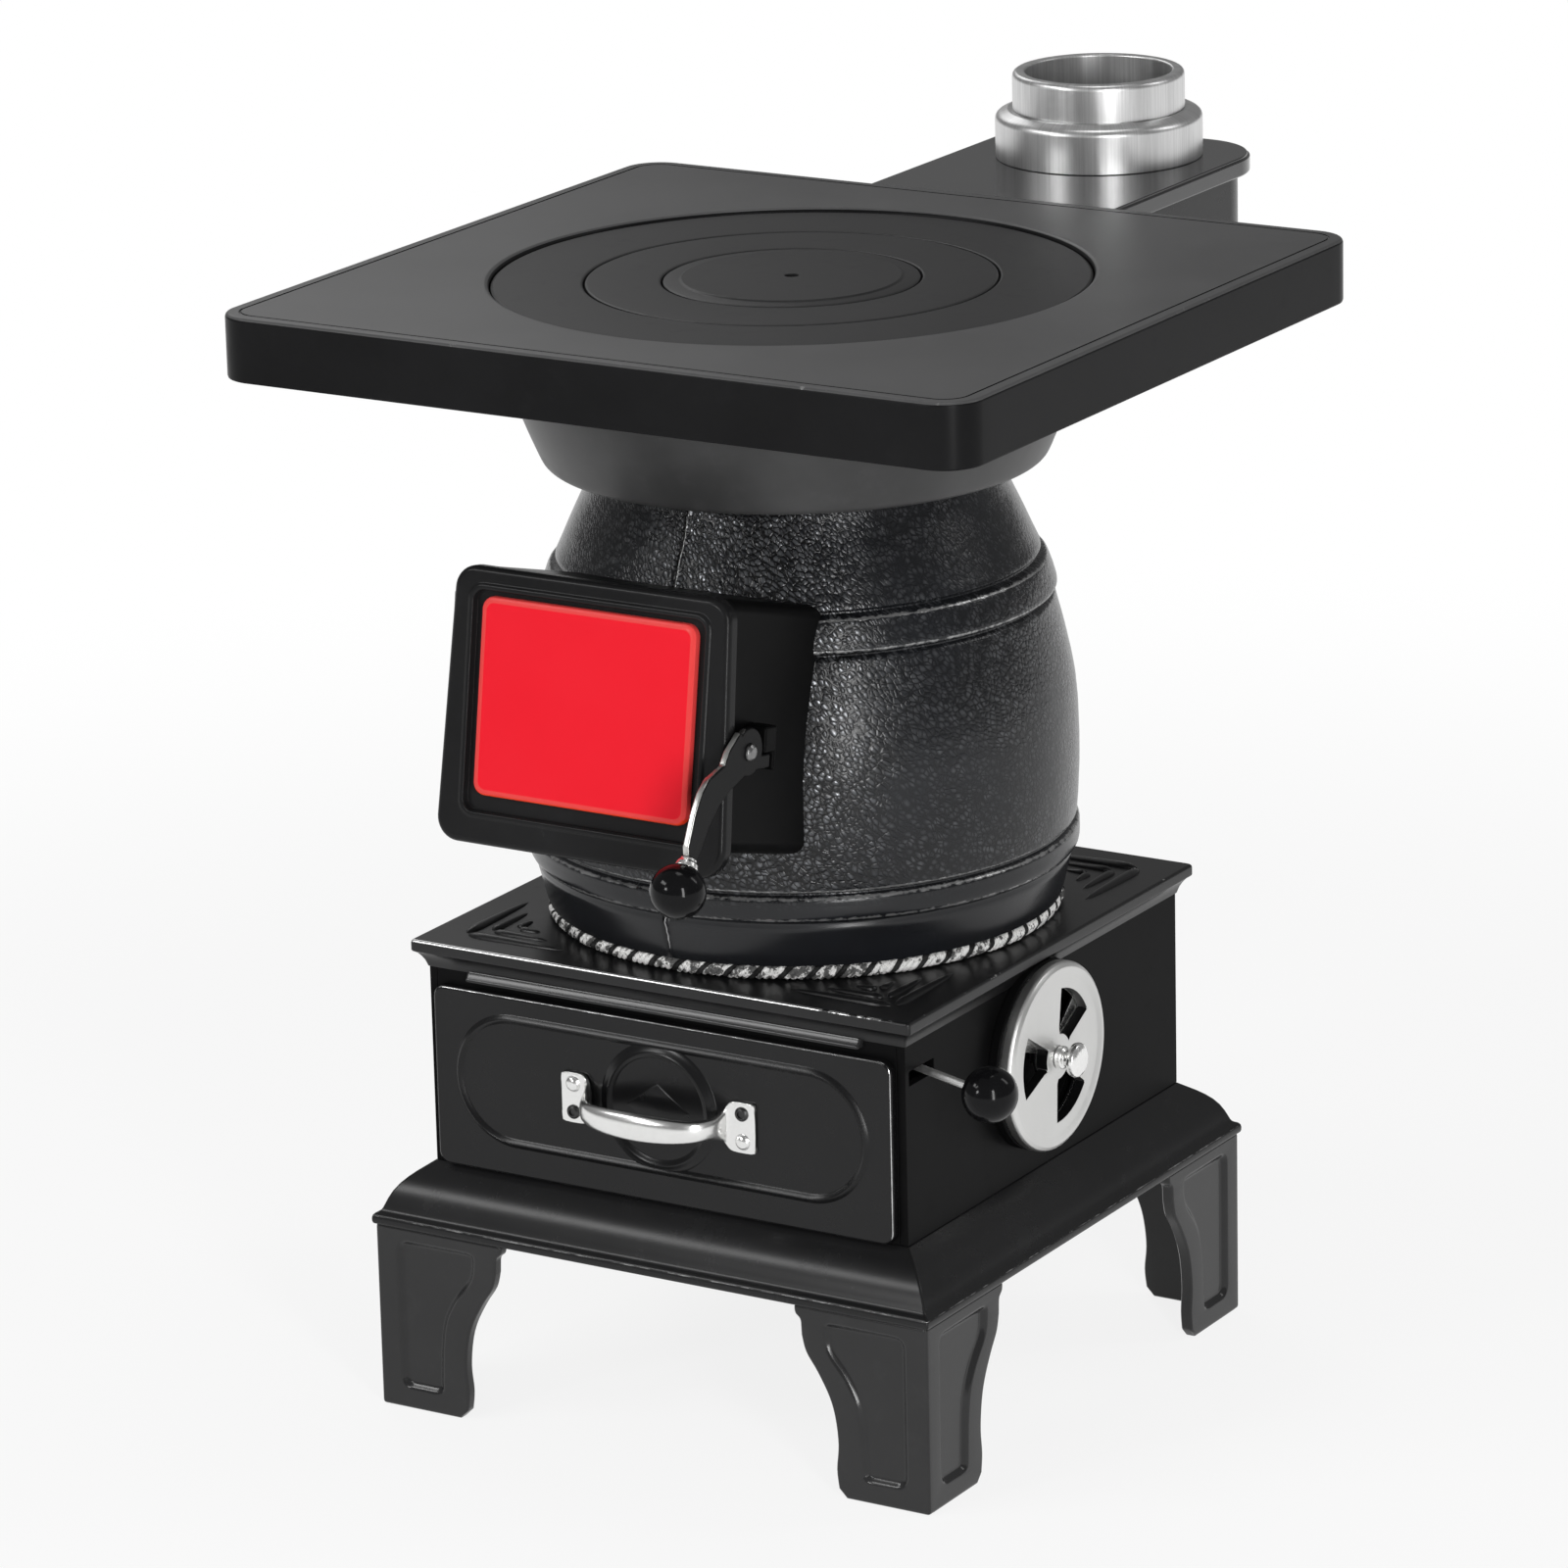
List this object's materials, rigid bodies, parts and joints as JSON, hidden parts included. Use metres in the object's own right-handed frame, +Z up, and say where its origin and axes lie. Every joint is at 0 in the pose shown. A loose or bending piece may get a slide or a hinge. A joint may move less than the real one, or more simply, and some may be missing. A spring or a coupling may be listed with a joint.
{
  "type": "potbelly wood stove",
  "caption": "Cast potbelly stove: ash box on corner feet with drawer and air damper, round belly with leaning door, square hob with nested rings and rear flue.",
  "frame": {"origin": "centre of the plan box at the floor, under the feet", "axes": "+Z up, loading door and ash drawer toward -Y, air damper and shaker toward +X, flue at +Y"},
  "size_m": [0.464, 0.7024, 0.677],
  "materials": {
    "cast_satin": "satin black enamel over fine casting",
    "cast_gloss": "glossy black enamel",
    "cast_grain": "coarse leather-like casting grain, semi-gloss black",
    "door_black": "smooth satin black",
    "drawer_black": "smooth satin black",
    "hob_iron": "smooth dark grey hob enamel",
    "grate_iron": "raw cast iron",
    "latch_iron": "black with worn bright edge",
    "zinc_steel": "zinc plated",
    "sheet_steel": "dull sheet",
    "dark_screw": "blackened",
    "bright_rod": "bright plated",
    "polished_aluminium": "polished casting",
    "damper_bright": "satin aluminium",
    "flue_steel": "brushed, drawn collar",
    "knob_gloss": "gloss black heat resistant knob",
    "red_enamel": "flat bright red enamel, lighter bevel",
    "sealing_rope": "braided white and black fibre rope"
  },
  "bodies": {
    "base": {"leg_front_left": "cast_satin", "leg_front_right": "cast_satin", "leg_rear_left": "cast_satin", "leg_rear_right": "cast_satin", "leg_bolts": "zinc_steel", "base_skirt": "cast_satin", "ash_wall_left": "cast_satin", "ash_wall_right": "cast_satin", "ash_wall_rear": "cast_satin", "ash_front_frame": "cast_satin", "base_top_plate": "cast_satin", "damper_seat": "cast_satin", "damper_plate": "damper_bright", "rope_seal": "sealing_rope", "belly": "cast_grain", "door_neck": "door_black", "hinge_pins": "zinc_steel", "latch_keeper": "door_black", "bowl": "cast_satin", "smoke_duct": "cast_satin", "cooktop": "hob_iron", "flue_box": "cast_satin", "flue_lid": "cast_gloss", "flue_collar": "flue_steel", "flue_spigot": "flue_steel"},
    "ash_drawer": {"ash_tray": "sheet_steel", "drawer_front": "drawer_black", "drawer_handle": "polished_aluminium", "handle_rivets": "polished_aluminium", "handle_screws": "dark_screw"},
    "damper": {"damper_disc": "damper_bright", "damper_bolt": "damper_bright", "damper_nut": "zinc_steel"},
    "shaker": {"grate": "grate_iron", "shaker_rod": "bright_rod", "shaker_knob": "knob_gloss"},
    "loading_door": {"fire_door": "door_black", "door_panel": "red_enamel", "latch_rivet": "bright_rod"},
    "latch": {"latch_lever": "latch_iron", "latch_ferrule": "bright_rod", "latch_knob": "knob_gloss"},
    "outer_ring": {"ring_outer": "hob_iron"},
    "middle_ring": {"ring_middle": "hob_iron"},
    "lid": {"centre_lid": "hob_iron"}
  },
  "joints": [
    {"name": "drawer_slide", "type": "slide", "parent": "base", "child": "ash_drawer", "axis": [0, -1, 0], "range_m": [0, 0.2]},
    {"name": "damper_turn", "type": "hinge", "parent": "base", "child": "damper", "pos_m": [0.1515, -0.07084, 0.208], "axis": [1, 0, 0], "range_deg": [-48, 12]},
    {"name": "grate_shake", "type": "hinge", "parent": "base", "child": "shaker", "pos_m": [0, -0.05984, 0.262], "axis": [0, 0, 1], "range_deg": [-3.5, 1]},
    {"name": "door_swing", "type": "hinge", "parent": "base", "child": "loading_door", "pos_m": [-0.088, -0.26454, 0.4295], "axis": [0, -0.1564, -0.9877], "range_deg": [0, 110]},
    {"name": "latch_lift", "type": "hinge", "parent": "loading_door", "child": "latch", "pos_m": [0.0915, -0.26543, 0.42387], "axis": [-1, 0, 0], "range_deg": [0, 50]},
    {"name": "outer_ring_lift", "type": "slide", "parent": "base", "child": "outer_ring", "axis": [0, 0, 1], "range_m": [0, 0.1]},
    {"name": "middle_ring_lift", "type": "slide", "parent": "outer_ring", "child": "middle_ring", "axis": [0, 0, 1], "range_m": [0, 0.1]},
    {"name": "lid_lift", "type": "slide", "parent": "middle_ring", "child": "lid", "axis": [0, 0, 1], "range_m": [0, 0.1]}
  ]
}
